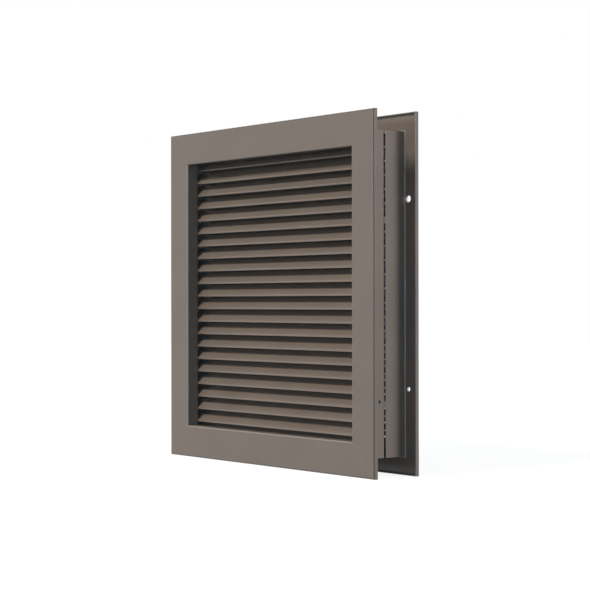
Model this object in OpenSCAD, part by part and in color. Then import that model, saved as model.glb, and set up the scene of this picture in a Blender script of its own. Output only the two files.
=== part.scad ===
// Door louver: two mitred sheet-steel frames clamp a door round a cut-out, and between them
// stands a stack of fixed blades, each one sheet folded to an upside-down Y that blocks sight.
// X runs across the door, Y through it with the front face at -Y, and Z is up.
// The origin is the centre of the louver.

/* [Door] */
// Room between the lips of the two frames: a 44.5 mm door and a little slack
door_t = 46.5; // [35:0.5:60]

/* [Body] */
// Width of the body that stands in the door's cut-out
body_w = 308; // [200:1:600]
// Height of the body that stands in the door's cut-out
body_h = 308; // [200:1:600]

/* [Frame] */
// Sheet thickness of the frames and liners
frame_t = 1.2; // [0.9:0.1:1.6]
// How far the frame laps over the door past the body, on each side
overlap = 17.5; // [14:0.5:20]
// Width of the flat face, from the outer edge to the opening
face_w = 33; // [30:0.5:45]
// Depth of the outer lip, which bears on the door
lip_d = 4.5; // [3:0.5:8]
// Depth of the return round the opening
return_d = 13; // [8:0.5:14]
// Inside radius of the bends in the frames
frame_bend_r = 0.4; // [0.3:0.1:1.2]
// Inside radius of the bend between a liner's wall and its foot
liner_bend_r = 1.2; // [0.8:0.1:1.5]
// Gap between a liner's foot and the frame's lip beside it
foot_play = 2; // [0.5:0.1:3]

/* [Fixing holes] */
// Diameter of the upper pair of screw holes, through the rear stiles and the liners' feet
upper_hole_d = 6.8; // [4:0.1:7]
// Diameter of the lower pair of screw holes
lower_hole_d = 4.6; // [3:0.1:7]
// Height of the screw holes above and below the middle
hole_z = 90; // [40:1:95]
// Distance from the liner's outer face to the centre of a screw hole
hole_off = 4.6; // [4.6:0.1:7]

/* [Blades] */
// Sheet thickness of the blades
blade_t = 0.9; // [0.6:0.1:1.2]
// Height from one blade to the next
blade_pitch = 13.32; // [12:0.02:18]
// Slope of a blade's legs
leg_angle = 42; // [34:1:45]
// Height of the upright lip at the foot of each leg
blade_lip_h = 1.5; // [1:0.1:3]
// Inside radius of the bends in a blade's legs
blade_bend_r = 0.6; // [0.3:0.1:0.8]
// Gap left open between the two sheets of a blade's stem
fold_gap = 0.2; // [0.1:0.05:0.4]
// Clear height between a blade's crown and the fold of the blade above
throat = 4.8; // [3:0.1:6]
// Gap between the return's edge and the blades behind it
blade_setback = 0.3; // [0.1:0.1:1]
// Gap at each end of a blade, and over the top one
blade_play = 0.3; // [0.1:0.1:0.5]

/* [Middle joint] */
// Gap between a blade's tongue and the liner's edge on each side of it
tongue_play = 0.1; // [0.05:0.05:0.3]
// Height of the tongue at the crown that shows in the joint
tongue_h = 2; // [1.5:0.1:3]
// Height of the deeper tongues that key the stack
key_h = 6; // [4:0.1:7]
// Number of the lower keyed blade, counted from the bottom
lower_key = 3; // [2:1:5]
// Number of the upper keyed blade, counted from the bottom
upper_key = 16; // [7:1:16]
// How far the stem is cut back from the right liner, under the tongue
cope_d = 8; // [4:0.5:10]
// Height of the stem that is left standing on the legs, under that cut
cope_rise = 2; // [0.5:0.1:3]

/* [Sight holes] */
// Diameter of the small hole in each front side liner
sight_d = 3.2; // [2:0.1:5]
// Distance from the front face to the middle of that hole
sight_y = 21.5; // [18:0.5:23]
// Height of that hole above the middle
sight_z = -101; // [-120:1:120]

/* [Hidden] */
// Straight steps in each bend
bend_steps = 4;
// How far a cutting shape stands past what it cuts
cut_past = 1;
paint = [0.50, 0.46, 0.42];
depth = door_t + 2 * lip_d;
frame_w = body_w + 2 * overlap;
frame_h = body_h + 2 * overlap;
stem_w = 2 * blade_t + fold_gap;
slit_w = stem_w + 2 * tongue_play;
leg_reach = depth / 2 - return_d - blade_setback;
fork_z = blade_lip_h + (leg_reach - stem_w / 2) * tan(leg_angle);
blade_h = blade_pitch + fork_z - blade_t / cos(leg_angle) - throat;
inner_w = body_w - 2 * frame_t;
inner_h = body_h - 2 * frame_t;
blade_w = inner_w - 2 * blade_play;
blade_count = floor((inner_h - 2 * blade_play - blade_h) / blade_pitch) + 1;
FRAME_NODES = ["front_top_rail", "front_bottom_rail", "front_left_stile", "front_right_stile",
               "rear_top_rail", "rear_bottom_rail", "rear_left_stile", "rear_right_stile",
               "front_top_liner", "front_bottom_liner", "front_left_liner", "front_right_liner",
               "rear_top_liner", "rear_bottom_liner", "rear_left_liner", "rear_right_liner"];

function blade_name(i) = str("blade_", i < 9 ? "0" : "", i + 1);
function lip_z(i) = inner_h / 2 - blade_play - blade_h - blade_pitch * (blade_count - 1 - i);

// Outline of a bent sheet: the path is one surface, and the sheet lies to the left of it
function unit(v) = v / norm(v);
function left_of(v) = [-v.y, v.x];
function heading(path, i) = unit(path[i + 1] - path[i]);
function turned(v, a) = [v.x * cos(a) - v.y * sin(a), v.x * sin(a) + v.y * cos(a)];

function bend(corner, from, to, side, r) =
    let (angle = acos(from * to), centre = corner - from * r * tan(angle / 2) + left_of(from) * side * r)
    [for (k = [0 : bend_steps]) centre - turned(left_of(from) * side * r, side * angle * k / bend_steps)];

function one_face(path, radii, t, d) =
    let (last = len(path) - 1)
    concat(
        [path[0] + d * left_of(heading(path, 0))],
        [for (i = [1 : last - 1])
            let (from = heading(path, i - 1), to = heading(path, i),
                 side = sign(left_of(from) * to),
                 corner = path[i] + d * (left_of(from) + left_of(to)) / (1 + from * to),
                 r = radii[i - 1] + (side > 0 ? t - d : d))
            each bend(corner, from, to, side, r)],
        [path[last] + d * left_of(heading(path, last - 1))]);

function without_repeats(points) =
    [for (i = [0 : len(points) - 1]) if (i == 0 || norm(points[i] - points[i - 1]) > 0.001) points[i]];

function bent_sheet(path, radii, t) =
    let (far = one_face(path, radii, t, t), last = len(far) - 1)
    without_repeats(concat(one_face(path, radii, t, 0), [for (i = [0 : last]) far[last - i]]));

// Sections: x runs inwards from the frame's outer edge and y runs back from its face
function frame_section() = bent_sheet(
    [[0, lip_d], [0, 0], [face_w, 0], [face_w, return_d]],
    [frame_bend_r, frame_bend_r], frame_t);

// A liner's foot lies on the back of the face, from the liner's wall out to the lip
function liner_section() = bent_sheet(
    [[overlap, (depth - slit_w) / 2], [overlap, 2 * frame_t], [frame_t + foot_play, 2 * frame_t]],
    [liner_bend_r], frame_t);

// Section of a blade, as y and z from the middle of its lips' lower edges
function blade_section() = bent_sheet(
    [[leg_reach, 0], [leg_reach, blade_lip_h], [stem_w / 2, fork_z], [stem_w / 2, blade_h],
     [-stem_w / 2, blade_h], [-stem_w / 2, fork_z], [-leg_reach, blade_lip_h], [-leg_reach, 0]],
    [blade_bend_r, blade_bend_r, fold_gap / 2, fold_gap / 2, blade_bend_r, blade_bend_r], blade_t);

// A strip along the top front edge, mitred at both ends to meet its neighbours
module mitred_strip(section, span, reach) {
    inside = face_w + cut_past;
    intersection() {
        rotate([90, 0, 90])
            linear_extrude(span, center = true)
                polygon([for (p = section) [p.y - depth / 2, reach - p.x]]);
        rotate([90, 0, 0])
            linear_extrude(2 * depth, center = true)
                polygon([[-span / 2 - cut_past, reach + cut_past], [span / 2 + cut_past, reach + cut_past],
                         [span / 2 - inside, reach - inside], [inside - span / 2, reach - inside]]);
    }
}

module to_bottom() { mirror([0, 0, 1]) children(); }
module to_right() { rotate([0, 90, 0]) children(); }
module to_left() { mirror([1, 0, 0]) rotate([0, 90, 0]) children(); }
module to_rear() { mirror([0, 1, 0]) children(); }

module rail() { color(paint) mitred_strip(frame_section(), frame_w, frame_h / 2); }
module stile() { color(paint) mitred_strip(frame_section(), frame_h, frame_w / 2); }
module rail_liner() { color(paint) mitred_strip(liner_section(), frame_w, frame_h / 2); }
module stile_liner() { color(paint) mitred_strip(liner_section(), frame_h, frame_w / 2); }

// Drills the right side of the rear frame for the screws that pull the frames together
module drilled() {
    difference() {
        children();
        screw_hole(hole_z, upper_hole_d);
        screw_hole(-hole_z, lower_hole_d);
    }
}

module screw_hole(z, d) {
    translate([body_w / 2 + hole_off, depth / 2 - frame_t, z])
        rotate([90, 0, 0])
            cylinder(h = 2 * frame_t + 2 * cut_past, d = d, center = true, $fn = 48);
}

// Makes the small hole through a front liner's wall
module sighted() {
    difference() {
        children();
        translate([body_w / 2, sight_y - depth / 2, sight_z])
            rotate([0, 90, 0])
                cylinder(h = 2 * frame_t + 2 * cut_past, d = sight_d, center = true, $fn = 32);
    }
}

module front_stile_liner() { sighted() to_right() stile_liner(); }
module rear_stile() { drilled() to_rear() to_right() stile(); }
module rear_stile_liner() { drilled() to_rear() to_right() stile_liner(); }

// Blade i of the stack: its tongues fill the joint between the liners, flush with their outside.
// At the left the whole stem is the tongue, so that no light shows there.
module blade(i) {
    number = i + 1;
    shown_h = number == lower_key || number == upper_key ? key_h : tongue_h;
    color(paint)
        translate([0, 0, lip_z(i)])
            difference() {
                rotate([90, 0, 90])
                    linear_extrude(body_w, center = true)
                        polygon(blade_section());
                end_trim(blade_h - shown_h);
                stem_cope(blade_h - shown_h);
                mirror([1, 0, 0]) end_trim(fork_z);
            }
}

// What would pass the liner under the tongue, at a blade's right end
module end_trim(tongue_z) {
    translate([blade_w / 2, -depth / 2, -cut_past])
        cube([frame_t + blade_play + cut_past, depth, tongue_z + cut_past]);
}

// The stem, cut back further in where there is room for it under the tongue
module stem_cope(tongue_z) {
    cope_z = fork_z + cope_rise;
    if (tongue_z > cope_z)
        translate([inner_w / 2 - cope_d, -stem_w, cope_z])
            cube([cope_d + cut_past, 2 * stem_w, tongue_z - cope_z]);
}

rail();  // front_top_rail
to_bottom() rail();  // front_bottom_rail
to_left() stile();  // front_left_stile
to_right() stile();  // front_right_stile
to_rear() rail();  // rear_top_rail
to_rear() to_bottom() rail();  // rear_bottom_rail
mirror([1, 0, 0]) rear_stile();  // rear_left_stile
rear_stile();  // rear_right_stile
rail_liner();  // front_top_liner
to_bottom() rail_liner();  // front_bottom_liner
mirror([1, 0, 0]) front_stile_liner();  // front_left_liner
front_stile_liner();  // front_right_liner
to_rear() rail_liner();  // rear_top_liner
to_rear() to_bottom() rail_liner();  // rear_bottom_liner
mirror([1, 0, 0]) rear_stile_liner();  // rear_left_liner
rear_stile_liner();  // rear_right_liner
for (i = [0 : blade_count - 1])
    blade(i);
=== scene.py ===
import math
import bmesh
import bpy
from mathutils import Matrix, Vector


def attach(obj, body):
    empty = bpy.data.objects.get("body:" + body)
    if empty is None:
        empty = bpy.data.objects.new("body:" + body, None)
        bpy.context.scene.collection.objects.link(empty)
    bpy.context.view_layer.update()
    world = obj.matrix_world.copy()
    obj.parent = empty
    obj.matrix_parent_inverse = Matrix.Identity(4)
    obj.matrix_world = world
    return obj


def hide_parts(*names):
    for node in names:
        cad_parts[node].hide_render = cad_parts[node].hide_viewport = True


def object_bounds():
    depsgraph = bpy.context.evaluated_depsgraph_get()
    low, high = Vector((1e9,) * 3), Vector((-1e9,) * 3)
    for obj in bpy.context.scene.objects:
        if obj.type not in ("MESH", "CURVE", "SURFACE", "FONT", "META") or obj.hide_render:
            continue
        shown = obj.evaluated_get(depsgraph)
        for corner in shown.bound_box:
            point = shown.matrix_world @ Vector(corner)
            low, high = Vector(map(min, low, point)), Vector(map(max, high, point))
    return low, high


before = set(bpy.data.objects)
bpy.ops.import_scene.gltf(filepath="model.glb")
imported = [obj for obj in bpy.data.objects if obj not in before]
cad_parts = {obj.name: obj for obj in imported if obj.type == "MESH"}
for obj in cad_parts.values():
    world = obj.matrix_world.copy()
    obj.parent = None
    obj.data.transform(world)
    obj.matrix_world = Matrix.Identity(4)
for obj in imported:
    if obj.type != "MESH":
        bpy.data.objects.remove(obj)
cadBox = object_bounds()
print("packed louver loaded,", len(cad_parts), "nodes")

# Camera at the photograph's angle, from the right and level with the middle of the louver
cameraSettings = {
    "target": (0.05106, -0.02775, -0.00063), "distance": 1.68521,
    "yaw": 52.882, "pitch": -0.220, "roll": -0.082,  # degrees
    "lens": 105.276, "sensor": 36.0,  # millimetres
    "near": 0.01, "far": 100,
}


def makeCamera(s):
    yaw, pitch, roll = (math.radians(s[k]) for k in ("yaw", "pitch", "roll"))
    ahead = Vector((-math.sin(yaw) * math.cos(pitch), math.cos(yaw) * math.cos(pitch), -math.sin(pitch)))
    right = Vector((math.cos(yaw), math.sin(yaw), 0))
    up = right.cross(ahead)
    across = math.cos(roll) * right + math.sin(roll) * up
    upright = math.cos(roll) * up - math.sin(roll) * right
    data = bpy.data.cameras.new("louverCamera")
    data.lens, data.sensor_width = s["lens"], s["sensor"]
    data.clip_start, data.clip_end = s["near"], s["far"]
    camera = bpy.data.objects.new("louverCamera", data)
    turn = Matrix((across, upright, -ahead)).transposed().to_4x4()
    camera.matrix_world = Matrix.Translation(Vector(s["target"]) - ahead * s["distance"]) @ turn
    bpy.context.scene.collection.objects.link(camera)
    bpy.context.scene.camera = camera


makeCamera(cameraSettings)
print("camera placed")


# Helpers for node trees: the first adds a node and fills its sockets, from a link or a plain value
def addNode(tree, kind, links=None, **settings):
    node = tree.nodes.new(kind)
    for name, value in settings.items():
        setattr(node, name, value)
    for socket, value in (links or {}).items():
        plug(tree, value, node.inputs[socket])
    return node


def plug(tree, value, socket):
    if isinstance(value, bpy.types.NodeSocket):
        tree.links.new(value, socket)
    else:
        socket.default_value = value


def maths(tree, operation, *values):
    return addNode(tree, "ShaderNodeMath", dict(enumerate(values)), operation=operation).outputs[0]


def combine(tree, **parts):
    return addNode(tree, "ShaderNodeCombineXYZ", parts).outputs[0]


def newTree(name, inputs):
    tree = bpy.data.node_groups.new(name, "GeometryNodeTree")
    tree.interface.new_socket("Geometry", in_out="INPUT", socket_type="NodeSocketGeometry")
    for label, kind in inputs:
        tree.interface.new_socket(label, in_out="INPUT", socket_type="NodeSocket" + kind)
    tree.interface.new_socket("Geometry", in_out="OUTPUT", socket_type="NodeSocketGeometry")
    return tree, tree.nodes.new("NodeGroupInput").outputs


def endTree(tree, geometry, material):
    whole = addNode(tree, "GeometryNodeRealizeInstances", {"Geometry": geometry})
    painted = addNode(tree, "GeometryNodeSetMaterial", {
        "Geometry": whole.outputs[0], "Material": material})
    tree.links.new(painted.outputs[0], tree.nodes.new("NodeGroupOutput").inputs[0])
    return tree


def addObject(name, mesh):
    made = bpy.data.objects.new(name, mesh)
    bpy.context.scene.collection.objects.link(made)
    return made


def addForm(name, form):
    mesh = bpy.data.meshes.new(name)
    form.to_mesh(mesh)
    form.free()
    return addObject(name, mesh)


# Enamel: satin paint on steel sheet under a thin gloss, with a little orange peel. A lighter colour is a
# painted highlight on bends and rounded edges (on the edges also edge wear), a darker one painted shade on
# a sharp bend's outside
enamel = {
    "color": (0.223, 0.175, 0.142), "paintedHighlightAndWear": (0.34, 0.30, 0.265), "paintedShade": (0.060, 0.052, 0.047),
    "roughness": 0.34, "smoothest": -0.04, "dullest": 0.05,  # the last two are added where clouds end
    "gloss": 0.24, "coat": 0.25, "coatRoughness": 0.14,
    "peelSize": 900.0, "peelDetail": 2.0, "peelDepth": 0.00002, "peelStrength": 0.6,
    "cloudSize": 14.0, "cloudDetail": 3.0, "cloudShare": 0.10,
}


def makeEnamel(name, s):
    material = bpy.data.materials.new(name)
    material.use_nodes = True
    tree = material.node_tree
    tree.nodes.clear()
    place = addNode(tree, "ShaderNodeTexCoord").outputs["Object"]
    cloud = addNode(tree, "ShaderNodeTexNoise", {
        "Vector": place, "Scale": s["cloudSize"], "Detail": s["cloudDetail"], "Roughness": 0.55})
    grain = addNode(tree, "ShaderNodeTexNoise", {
        "Vector": place, "Scale": s["peelSize"], "Detail": s["peelDetail"], "Roughness": 0.5})
    wear = addNode(tree, "ShaderNodeAttribute", attribute_name="wear").outputs["Fac"]
    tone = addNode(tree, "ShaderNodeMapRange", {
        "Value": cloud.outputs[0], "From Min": 0.3, "From Max": 0.7,
        "To Min": 1 - s["cloudShare"] / 2, "To Max": 1 + s["cloudShare"] / 2}).outputs[0]
    toned = addNode(tree, "ShaderNodeVectorMath", operation="SCALE")
    toned.inputs[0].default_value = s["color"]
    tree.links.new(tone, toned.inputs["Scale"])
    paint = toned.outputs[0]
    # Above 0 mixes in the lighter colour as painted highlight and edge wear, below 0 the darker colour as
    # painted shade
    for sign, other in ((1.0, "paintedHighlightAndWear"), (-1.0, "paintedShade")):
        share = maths(tree, "MAXIMUM", maths(tree, "MULTIPLY", wear, sign), 0.0)
        mix = addNode(tree, "ShaderNodeMix", {"Factor": share}, data_type="RGBA")
        tree.links.new(paint, mix.inputs[6])
        mix.inputs[7].default_value = (*s[other], 1)
        paint = mix.outputs[2]
    gloss = addNode(tree, "ShaderNodeMapRange", {
        "Value": cloud.outputs[0], "From Min": 0.25, "From Max": 0.75,
        "To Min": s["roughness"] + s["smoothest"], "To Max": s["roughness"] + s["dullest"]}).outputs[0]
    peel = addNode(tree, "ShaderNodeBump", {
        "Height": grain.outputs[0], "Distance": s["peelDepth"], "Strength": s["peelStrength"]})
    shader = addNode(tree, "ShaderNodeBsdfPrincipled", {
        "Base Color": paint, "Roughness": gloss, "Normal": peel.outputs[0],
        "Specular IOR Level": s["gloss"], "Coat Weight": s["coat"], "Coat Roughness": s["coatRoughness"]})
    tree.links.new(shader.outputs[0], addNode(tree, "ShaderNodeOutputMaterial").inputs[0])
    return material


frameEnamel = makeEnamel("frameEnamel", enamel)
linerEnamel = makeEnamel("linerEnamel", enamel)
bladeEnamel = makeEnamel("bladeEnamel", enamel)
print("enamels mixed")


# Outline of a bent sheet: the path is one surface and the sheet lies to its left. Each point comes with a
# painted-light
# value: above 0 is a painted highlight (on rounded sheet edges also edge wear), below 0 painted shade.
# "bends" gives it on the outside of each bend and "creases" on its inside. A flat has a guard point beside
# each bend, so that the painted light and shading stay there.
def leftOf(v):
    return Vector((-v.y, v.x))


def bentFace(path, radii, offset, s):
    sheet, steps, guard = s["sheet"], s["steps"], s["guard"]
    heads = [(path[i + 1] - path[i]).normalized() for i in range(len(path) - 1)]
    points = [(path[0] + offset * leftOf(heads[0]), 0.0)]
    for i in range(1, len(path) - 1):
        before, after = heads[i - 1], heads[i]
        side = 1 if leftOf(before).dot(after) > 0 else -1
        corner = path[i] + offset * (leftOf(before) + leftOf(after)) / (1 + before.dot(after))
        radius = radii[i - 1] + (sheet - offset if side > 0 else offset)
        angle = math.acos(max(-1, min(1, before.dot(after))))
        run = radius * math.tan(angle / 2)
        centre = corner - before * run + leftOf(before) * side * radius
        outside = radius > radii[i - 1] + sheet / 2
        points.append((corner - before * (run + guard), 0.0))
        for k in range(steps + 1):
            turn = Matrix.Rotation(side * angle * k / steps, 2)
            # The bend's painted light: a painted highlight for values above 0, painted shade for values
            # below 0
            wear = s["bends" if outside else "creases"][i - 1] * math.sin(math.pi * k / steps)
            points.append((centre - turn @ (leftOf(before) * side * radius), wear))
        points.append((corner + after * (run + guard), 0.0))
    points.append((path[-1] + offset * leftOf(heads[-1]), 0.0))
    return points


def bentSheet(path, radii, s):
    path = [Vector(p) for p in path]
    near = bentFace(path, radii, 0, s)
    far = bentFace(path, radii, s["sheet"], s)[::-1]
    edge, guard, outline = s["edge"], s["guard"], near + far
    rounded = []
    count = len(outline)
    ends = {0, len(near) - 1, len(near), count - 1}
    for i, (point, wear) in enumerate(outline):
        if i not in ends:
            rounded.append((point, wear))
            continue
        back = (outline[i - 1][0] - point).normalized()
        on = (outline[(i + 1) % count][0] - point).normalized()
        centre = point + (back + on) * edge
        rounded.append((point + back * (edge + guard), 0.0) if i in (len(near) - 1, count - 1) else None)
        # Rounded sheet edges get a lighter value: a painted highlight, partly edge wear
        for k in range(s["edgeSteps"] + 1):
            a = math.pi / 2 * k / s["edgeSteps"]
            rounded.append((centre - on * edge * math.cos(a) - back * edge * math.sin(a), s["edgeHighlightAndWear"]))
        rounded.append((point + on * (edge + guard), 0.0) if i in (0, len(near)) else None)
    return [p for p in rounded if p]


# Mesh of one outline in the plane x = 0, with what a mitre needs: how far each point tucks in there
def sectionMesh(name, outline, depth, rear, tuck):
    points = [Vector((y - depth / 2, -x)) for (x, y), wear in outline]
    paintedLightAndWears = [wear for point, wear in outline]
    if rear:
        points = [Vector((-p.x, p.y)) for p in points[::-1]]
        paintedLightAndWears.reverse()
    count = len(points)
    tucks = []
    for i in range(count):
        before, after = points[i] - points[i - 1], points[(i + 1) % count] - points[i]
        tucks.append((leftOf(before.normalized()) + leftOf(after.normalized())).normalized() * tuck)
    mesh = bpy.data.meshes.new(name)
    mesh.from_pydata([(0, p.x, p.y) for p in points], [], [range(count)])
    mesh.attributes.new("wear", "FLOAT", "POINT").data.foreach_set("value", paintedLightAndWears)
    mesh.attributes.new("tuck", "FLOAT_VECTOR", "POINT").data.foreach_set(
        "vector", [c for t in tucks for c in (0, t.x, t.y)])
    return mesh


# Tree that runs a section along one side of a frame, with a mitre at each end. The rings, from either end
# inwards, are the tucked end, the seam's shoulder and a guard that keeps the flat's shading flat.
ringCount = 5  # extrusions, which leave six rings
weldReach = 0.00001  # metres


def makeStripTree():
    tree, given = newTree("mitredStrip", [
        ("Span", "Float"), ("Reach", "Float"), ("Seam", "Float"), ("Guard", "Float"), ("Turn", "Float"),
        ("Material", "Material")])
    base = addNode(tree, "GeometryNodeFlipFaces", {"Mesh": given["Geometry"]})
    mesh, top = given["Geometry"], True
    along = combine(tree, X=1.0)  # an empty Offset would mean the normal
    for ring in range(ringCount):
        run = addNode(tree, "GeometryNodeExtrudeMesh", {
            "Mesh": mesh, "Selection": top, "Offset": along, "Offset Scale": 1.0, "Individual": False},
            mode="FACES")
        mesh, top = run.outputs["Mesh"], run.outputs["Top"]
    joined = addNode(tree, "GeometryNodeJoinGeometry")
    tree.links.new(mesh, joined.inputs[0])
    tree.links.new(base.outputs[0], joined.inputs[0])
    whole = addNode(tree, "GeometryNodeMergeByDistance", {
        "Geometry": joined.outputs[0], "Distance": weldReach})
    position = addNode(tree, "GeometryNodeInputPosition").outputs[0]
    place = addNode(tree, "ShaderNodeSeparateXYZ", {0: position}).outputs
    middle = maths(tree, "SUBTRACT", place["X"], ringCount / 2)
    station = maths(tree, "ABSOLUTE", middle)
    isEnd = maths(tree, "GREATER_THAN", station, 2.0)
    isInner = maths(tree, "LESS_THAN", station, 1.0)
    seam = maths(tree, "MULTIPLY", maths(tree, "SUBTRACT", 1.0, isEnd), given["Seam"])
    short = maths(tree, "MULTIPLY_ADD", isInner, given["Guard"], seam)
    half = maths(tree, "SUBTRACT", maths(tree, "MULTIPLY_ADD", given["Span"], 0.5, place["Z"]), short)
    there = combine(
        tree, X=maths(tree, "MULTIPLY", maths(tree, "SIGN", middle), half), Y=place["Y"],
        Z=maths(tree, "ADD", place["Z"], given["Reach"]))
    tuck = addNode(tree, "GeometryNodeInputNamedAttribute", {"Name": "tuck"}, data_type="FLOAT_VECTOR")
    tucked = addNode(tree, "ShaderNodeVectorMath", {0: tuck.outputs[0]}, operation="SCALE")
    tree.links.new(isEnd, tucked.inputs["Scale"])
    spot = addNode(tree, "ShaderNodeVectorMath", {0: there, 1: tucked.outputs[0]}, operation="ADD")
    strip = addNode(tree, "GeometryNodeSetPosition", {
        "Geometry": whole.outputs[0], "Position": spot.outputs[0]})
    turned = addNode(tree, "GeometryNodeTransform", {
        "Geometry": strip.outputs[0], "Rotation": combine(tree, Y=given["Turn"])})
    smooth = addNode(tree, "GeometryNodeSetShadeSmooth", {"Geometry": turned.outputs[0]})
    return endTree(tree, smooth.outputs[0], given["Material"])


def growTree(name, mesh, tree, values):
    piece = addObject(name, mesh)
    modifier = piece.modifiers.new(tree.name, "NODES")
    modifier.node_group = tree
    for item in tree.interface.items_tree:
        if item.in_out == "INPUT" and item.name in values:
            modifier[item.identifier] = values[item.name]
    freeze(piece)
    return piece


# Turns what the modifiers show into the piece's own plain mesh
def freeze(piece):
    bpy.context.view_layer.update()
    seen = piece.evaluated_get(bpy.context.evaluated_depsgraph_get())
    mesh = bpy.data.meshes.new_from_object(seen)
    piece.modifiers.clear()
    old, piece.data = piece.data, mesh
    mesh.name = piece.name
    bpy.data.meshes.remove(old)


def cutAway(piece, cutters):
    for cutter in cutters:
        cut = piece.modifiers.new("cut", "BOOLEAN")
        cut.operation, cut.solver, cut.object = "DIFFERENCE", "EXACT", cutter
        freeze(piece)
        bpy.data.objects.remove(cutter)


sharpFrom = 38  # degrees, at which an edge stops being shaded smooth


def hardenEdges(piece):
    piece.data.set_sharp_from_angle(angle=math.radians(sharpFrom))


def hand(piece, slot, *nodes):
    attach(piece, "root")
    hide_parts(*nodes)


# Frames and liners, all in metres
louverFrame = {
    "width": 0.343, "height": 0.343, "depth": 0.0555, "sheet": 0.0012,
    "faceWidth": 0.033, "lipDepth": 0.0045, "returnDepth": 0.013, "bendRadius": 0.0004,
    "seam": 0.00015, "tuck": 0.00003, "guard": 0.0003, "steps": 8, "edge": 0.00025, "edgeSteps": 3,
    # Painted shade (a dark line) on the lip's bend, a painted highlight on the opening's; rounded edges
    # lighter, part edge wear, part painted highlight
    "bends": (-0.8, 1.0), "creases": (0.0, 0.0), "edgeHighlightAndWear": 0.3,  # the lip's bend, then the opening's
}
louverLiner = {
    "sheet": 0.0012, "overlap": 0.0175, "slit": 0.0022, "bendRadius": 0.0012, "footPlay": 0.002,
    "guard": 0.0003, "steps": 8, "edge": 0.00025, "edgeSteps": 3,
    # A painted highlight, a thin light line, on the concave bend into the foot; rounded edges lighter, part
    # edge wear, part painted highlight
    "bends": (0.0,), "creases": (1.0,), "edgeHighlightAndWear": 0.2,
}
screwHoles = {
    "reach": 0.1586, "height": 0.09, "upper": 0.0068, "lower": 0.0046, "segments": 48, "drill": 0.008,
}
sightHole = {
    "reach": 0.154, "depth": 0.0215, "height": -0.101, "across": 0.0032, "segments": 48, "drill": 0.008,
}


def frameOutline(s):
    path = [(0, s["lipDepth"]), (0, 0), (s["faceWidth"], 0), (s["faceWidth"], s["returnDepth"])]
    return bentSheet(path, [s["bendRadius"]] * 2, s)


def linerOutline(s, louver):
    back = louver["sheet"] + s["sheet"]
    path = [(s["overlap"], (louver["depth"] - s["slit"]) / 2), (s["overlap"], back),
            (louver["sheet"] + s["footPlay"], back)]
    return bentSheet(path, [s["bendRadius"]], s)


def holeCutter(place, diameter, axis, s):
    form, radius = bmesh.new(), diameter / 2
    bmesh.ops.create_cone(
        form, cap_ends=True, segments=s["segments"], radius1=radius, radius2=radius, depth=s["drill"])
    form.transform(Matrix.Translation(place) @ Matrix.Rotation(math.pi / 2, 4, axis))
    return addForm("holeCutter", form)


def screwCutters(side, louver, s):
    middle = louver["depth"] / 2 - louver["sheet"]  # between the stile and the liner's foot
    return [holeCutter((side * s["reach"], middle, height), diameter, "X", s)
            for height, diameter in ((s["height"], s["upper"]), (-s["height"], s["lower"]))]


def sightCutter(side, louver, s):
    place = (side * s["reach"], s["depth"] - louver["depth"] / 2, s["height"])
    return [holeCutter(place, s["across"], "Y", s)]


def makeStrips():
    s = louverFrame
    tree = makeStripTree()
    kinds = [("rail", "stile", frameOutline(s), frameEnamel, "frame"),
             ("liner", "liner", linerOutline(louverLiner, s), linerEnamel, "liner")]
    for flat, tall, outline, material, slot in kinds:
        for rear, end in ((False, "front"), (True, "rear")):
            for turns, place in enumerate(("top", "right", "bottom", "left")):
                level = turns % 2 == 0
                node = f"{end}_{place}_{flat if level else tall}"
                section = sectionMesh(node, outline, s["depth"], rear, s["tuck"])
                piece = growTree(node.replace("_", "-"), section, tree, {
                    "Span": s["width"] if level else s["height"],
                    "Reach": (s["height"] if level else s["width"]) / 2,
                    "Seam": s["seam"], "Guard": s["guard"], "Turn": turns * math.pi / 2,
                    "Material": material})
                side = {"right": 1, "left": -1}.get(place)
                if side and rear:
                    cutAway(piece, screwCutters(side, s, screwHoles))
                elif side and slot == "liner":
                    cutAway(piece, sightCutter(side, s, sightHole))
                hardenEdges(piece)
                hand(piece, slot, node)


makeStrips()
print("frames and liners bent and mitred")

# Blades: each is one sheet folded to an upside-down Y, with a tongue at each end of its crown. At the right
# the stem is cut back between the tongue and the legs, at the left the tongue keeps the stem's full height.
blades = {
    "count": 22, "pitch": 0.01332, "lowest": -0.148139,
    "length": 0.305, "tongueReach": 0.154, "sheet": 0.0009, "legReach": 0.01445, "legAngle": 42,
    "lip": 0.0015, "height": 0.020919, "bendRadius": 0.0006, "foldGap": 0.0002,
    "tongue": 0.0016, "key": 0.006, "keyed": (3, 16),  # two blades have deeper tongues, counted from below
    "inner": 0.1528, "copeDepth": 0.008, "copeRise": 0.002, "copeHalf": 0.002,
    "sway": 0.25, "seed": 7,  # degrees
    "guard": 0.00025, "steps": 6, "edge": 0.00012, "edgeSteps": 3,
    # Painted highlight on the blade's lip bends, and a strong painted highlight, with some edge wear, on
    # the rounded sheet edges
    "bends": (0.3, 0.0, 0.0, 0.0, 0.0, 0.3), "creases": (0.0,) * 6, "edgeHighlightAndWear": 0.9,
    "cutReach": 0.16, "cutHalf": 0.03, "cutFoot": -0.01,  # past all of a blade
}


def bladeOutline(s):
    stem = s["sheet"] + s["foldGap"] / 2
    fork = s["lip"] + (s["legReach"] - stem) * math.tan(math.radians(s["legAngle"]))
    half = [(s["legReach"], 0), (s["legReach"], s["lip"]), (stem, fork), (stem, s["height"])]
    path = half + [(-x, y) for x, y in half[::-1]]
    radii = [s["bendRadius"]] * 2 + [s["foldGap"] / 2] * 2 + [s["bendRadius"]] * 2
    return bentSheet(path, radii, s), fork


def boxCutter(low, high):
    form = bmesh.new()
    bmesh.ops.create_cube(form, size=1)
    low, high = Vector(low), Vector(high)
    form.transform(Matrix.Translation((low + high) / 2) @ Matrix.Diagonal((*(high - low), 1)))
    return addForm("boxCutter", form)


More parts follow.
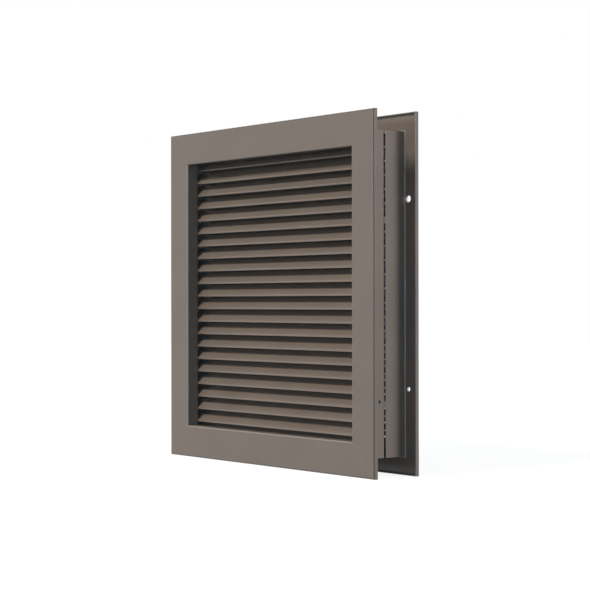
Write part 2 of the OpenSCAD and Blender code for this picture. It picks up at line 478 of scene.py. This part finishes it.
def makeBlade(name, tongue, s):
    outline, fork = bladeOutline(s)
    form = bmesh.new()
    # Per-point painted light and edge wear, read by the enamel
    wear = form.verts.layers.float.new("wear")
    rings = []
    for x in (-s["tongueReach"], s["tongueReach"]):
        ring = [form.verts.new((x, p.x, p.y)) for p, w in outline]
        for vert, (p, w) in zip(ring, outline):
            vert[wear] = w
        rings.append(ring)
    count = len(outline)
    for i in range(count):
        j = (i + 1) % count
        form.faces.new((rings[0][i], rings[0][j], rings[1][j], rings[1][i]))
    form.faces.new(rings[0][::-1])
    form.faces.new(rings[1])
    bmesh.ops.recalc_face_normals(form, faces=form.faces)
    piece = addForm(name, form)
    end, far, wide, foot = s["length"] / 2, s["cutReach"], s["cutHalf"], s["cutFoot"]
    neck, cope = s["height"] - tongue, fork + s["copeRise"]
    cutAway(piece, [boxCutter((end, -wide, foot), (far, wide, neck)),
                    boxCutter((-far, -wide, foot), (-end, wide, fork))])
    if neck > cope:
        start, slim = s["inner"] - s["copeDepth"], s["copeHalf"]
        cutAway(piece, [boxCutter((start, -slim, cope), (far, slim, neck))])
    for face in piece.data.polygons:
        face.use_smooth = True
    hardenEdges(piece)
    return piece


# Tree that stacks a blade up the opening, each one swayed a touch about its tongues
def makeStackTree():
    tree, given = newTree("bladeStack", [
        ("Keyed Blade", "Object"), ("Count", "Int"), ("Pitch", "Float"), ("Lowest", "Float"),
        ("Hinge", "Float"), ("Lower Key", "Int"), ("Upper Key", "Int"), ("Sway", "Float"), ("Seed", "Int"),
        ("Material", "Material")])
    line = addNode(tree, "GeometryNodeMeshLine", {
        "Count": given["Count"], "Start Location": combine(tree, Z=given["Lowest"]),
        "Offset": combine(tree, Z=given["Pitch"])}, mode="OFFSET")
    keyed = addNode(tree, "GeometryNodeObjectInfo", {"Object": given["Keyed Blade"]})
    index = addNode(tree, "GeometryNodeInputIndex").outputs[0]
    lower, upper = (
        addNode(tree, "FunctionNodeCompare", {2: index, 3: given[key]}, data_type="INT", operation="EQUAL")
        for key in ("Lower Key", "Upper Key"))
    isKey = addNode(tree, "FunctionNodeBooleanMath", {
        0: lower.outputs[0], 1: upper.outputs[0]}, operation="OR")
    isPlain = addNode(tree, "FunctionNodeBooleanMath", {0: isKey.outputs[0]}, operation="NOT")
    low = maths(tree, "MULTIPLY", given["Sway"], -1.0)
    sway = addNode(tree, "FunctionNodeRandomValue", {
        2: low, 3: given["Sway"], "Seed": given["Seed"]}, data_type="FLOAT")
    tilt = combine(tree, X=sway.outputs[1])
    down = combine(tree, Z=maths(tree, "MULTIPLY", given["Hinge"], -1.0))
    joined = addNode(tree, "GeometryNodeJoinGeometry")
    for wanted, source in ((isPlain, given["Geometry"]), (isKey, keyed.outputs["Geometry"])):
        hung = addNode(tree, "GeometryNodeTransform", {"Geometry": source, "Translation": down})
        each = addNode(tree, "GeometryNodeInstanceOnPoints", {
            "Points": line.outputs[0], "Selection": wanted.outputs[0], "Instance": hung.outputs[0],
            "Rotation": tilt})
        tree.links.new(each.outputs[0], joined.inputs[0])
    return endTree(tree, joined.outputs[0], given["Material"])


def makeBlades():
    s = blades
    plain = makeBlade("bladeBlank", s["tongue"], s)
    keyed = makeBlade("bladeKeyed", s["key"], s)
    hinge = s["height"] - s["tongue"] / 2
    stack = growTree("blade-stack", plain.data.copy(), makeStackTree(), {
        "Keyed Blade": keyed, "Count": s["count"], "Pitch": s["pitch"],
        "Lowest": s["lowest"] + hinge, "Hinge": hinge,
        "Lower Key": s["keyed"][0] - 1, "Upper Key": s["keyed"][1] - 1,
        "Sway": math.radians(s["sway"]), "Seed": s["seed"], "Material": bladeEnamel})
    for spare in (plain, keyed):
        bpy.data.objects.remove(spare)
    hand(stack, "blade", *sorted(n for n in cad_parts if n.startswith("blade_")))


makeBlades()
print("blades stacked")

# Floor and light: white all round, a soft key in front above, a lamp at the right and a little behind,
# a low one at the left that glints in the bends, and a weak cool one by the camera that casts no shadow
studio = {
    "floorSize": 8.0, "floorDrop": 0.0002, "floorGlow": 0.90, "floorShade": 0.25, "floorBounce": 0.05,
    "ambient": 0.25, "ambientColor": (0.84, 0.98, 1.08), "reflected": 1.0,
}
lamps = {
    "keyLamp": {
        "energy": 1.86, "color": (1, 0.96, 0.89), "shadow": True,
        "azimuth": -2, "elevation": 44, "angle": 12},
    "sideLamp": {
        "energy": 1.42, "color": (1, 0.96, 0.93), "shadow": True,
        "azimuth": 114, "elevation": 13, "angle": 22},
    "edgeLamp": {
        "energy": 0.38, "color": (1, 1, 1), "shadow": True,
        "azimuth": -36, "elevation": 4, "angle": 10},
    "fillLamp": {
        "energy": 0.42, "color": (0.45, 0.72, 1.0), "shadow": False,
        "azimuth": 53, "elevation": 0, "angle": 5},
}


# Mixes two shaders: the first lights the louver, the second is what the camera and a gloss see
def mixSeen(tree, lighting, shown):
    path = addNode(tree, "ShaderNodeLightPath").outputs
    mirrored = maths(tree, "MAXIMUM", path["Is Glossy Ray"], path["Is Transmission Ray"])
    seen = maths(tree, "MAXIMUM", path["Is Camera Ray"], mirrored)
    return addNode(tree, "ShaderNodeMixShader", {0: seen, 1: lighting.outputs[0], 2: shown.outputs[0]})


def makeWorld(s):
    world = bpy.data.worlds.new("whiteRoom")
    world.use_nodes = True
    tree = world.node_tree
    tree.nodes.clear()
    dim = addNode(tree, "ShaderNodeBackground", {
        "Color": (*s["ambientColor"], 1), "Strength": s["ambient"]})
    bright = addNode(tree, "ShaderNodeBackground", {"Color": (1, 1, 1, 1), "Strength": s["reflected"]})
    both = mixSeen(tree, dim, bright)
    tree.links.new(both.outputs[0], addNode(tree, "ShaderNodeOutputWorld").inputs[0])
    bpy.context.scene.world = world


def makeFloor(s):
    half, level = s["floorSize"] / 2, cadBox[0].z - s["floorDrop"]
    mesh = bpy.data.meshes.new("floor")
    corners = [(-half, -half, level), (half, -half, level), (half, half, level), (-half, half, level)]
    mesh.from_pydata(corners, [], [(0, 1, 2, 3)])
    floor = addObject("floor", mesh)
    material = bpy.data.materials.new("paleFloor")
    material.use_nodes = True
    tree = material.node_tree
    tree.nodes.clear()
    shade = addNode(tree, "ShaderNodeBsdfDiffuse", {"Color": (s["floorShade"],) * 3 + (1,)})
    glow = addNode(tree, "ShaderNodeEmission", {"Color": (1, 1, 1, 1), "Strength": s["floorGlow"]})
    lit = addNode(tree, "ShaderNodeAddShader", {0: shade.outputs[0], 1: glow.outputs[0]})
    dull = addNode(tree, "ShaderNodeBsdfDiffuse", {"Color": (s["floorBounce"],) * 3 + (1,)})
    both = mixSeen(tree, dull, lit)
    tree.links.new(both.outputs[0], addNode(tree, "ShaderNodeOutputMaterial").inputs[0])
    mesh.materials.append(material)


def makeSun(name, s):
    data = bpy.data.lights.new(name, "SUN")
    data.energy, data.color, data.angle = s["energy"], s["color"], math.radians(s["angle"])
    data.use_shadow = s["shadow"]
    lamp = addObject(name, data)
    a, e = math.radians(s["azimuth"]), math.radians(s["elevation"])
    toLamp = Vector((math.sin(a) * math.cos(e), -math.cos(a) * math.cos(e), math.sin(e)))
    lamp.rotation_mode = "QUATERNION"
    lamp.rotation_quaternion = toLamp.to_track_quat("Z", "Y")


makeWorld(studio)
makeFloor(studio)
for name, lamp in lamps.items():
    makeSun(name, lamp)
bpy.context.scene.view_settings.view_transform = "Standard"
print("studio lit")
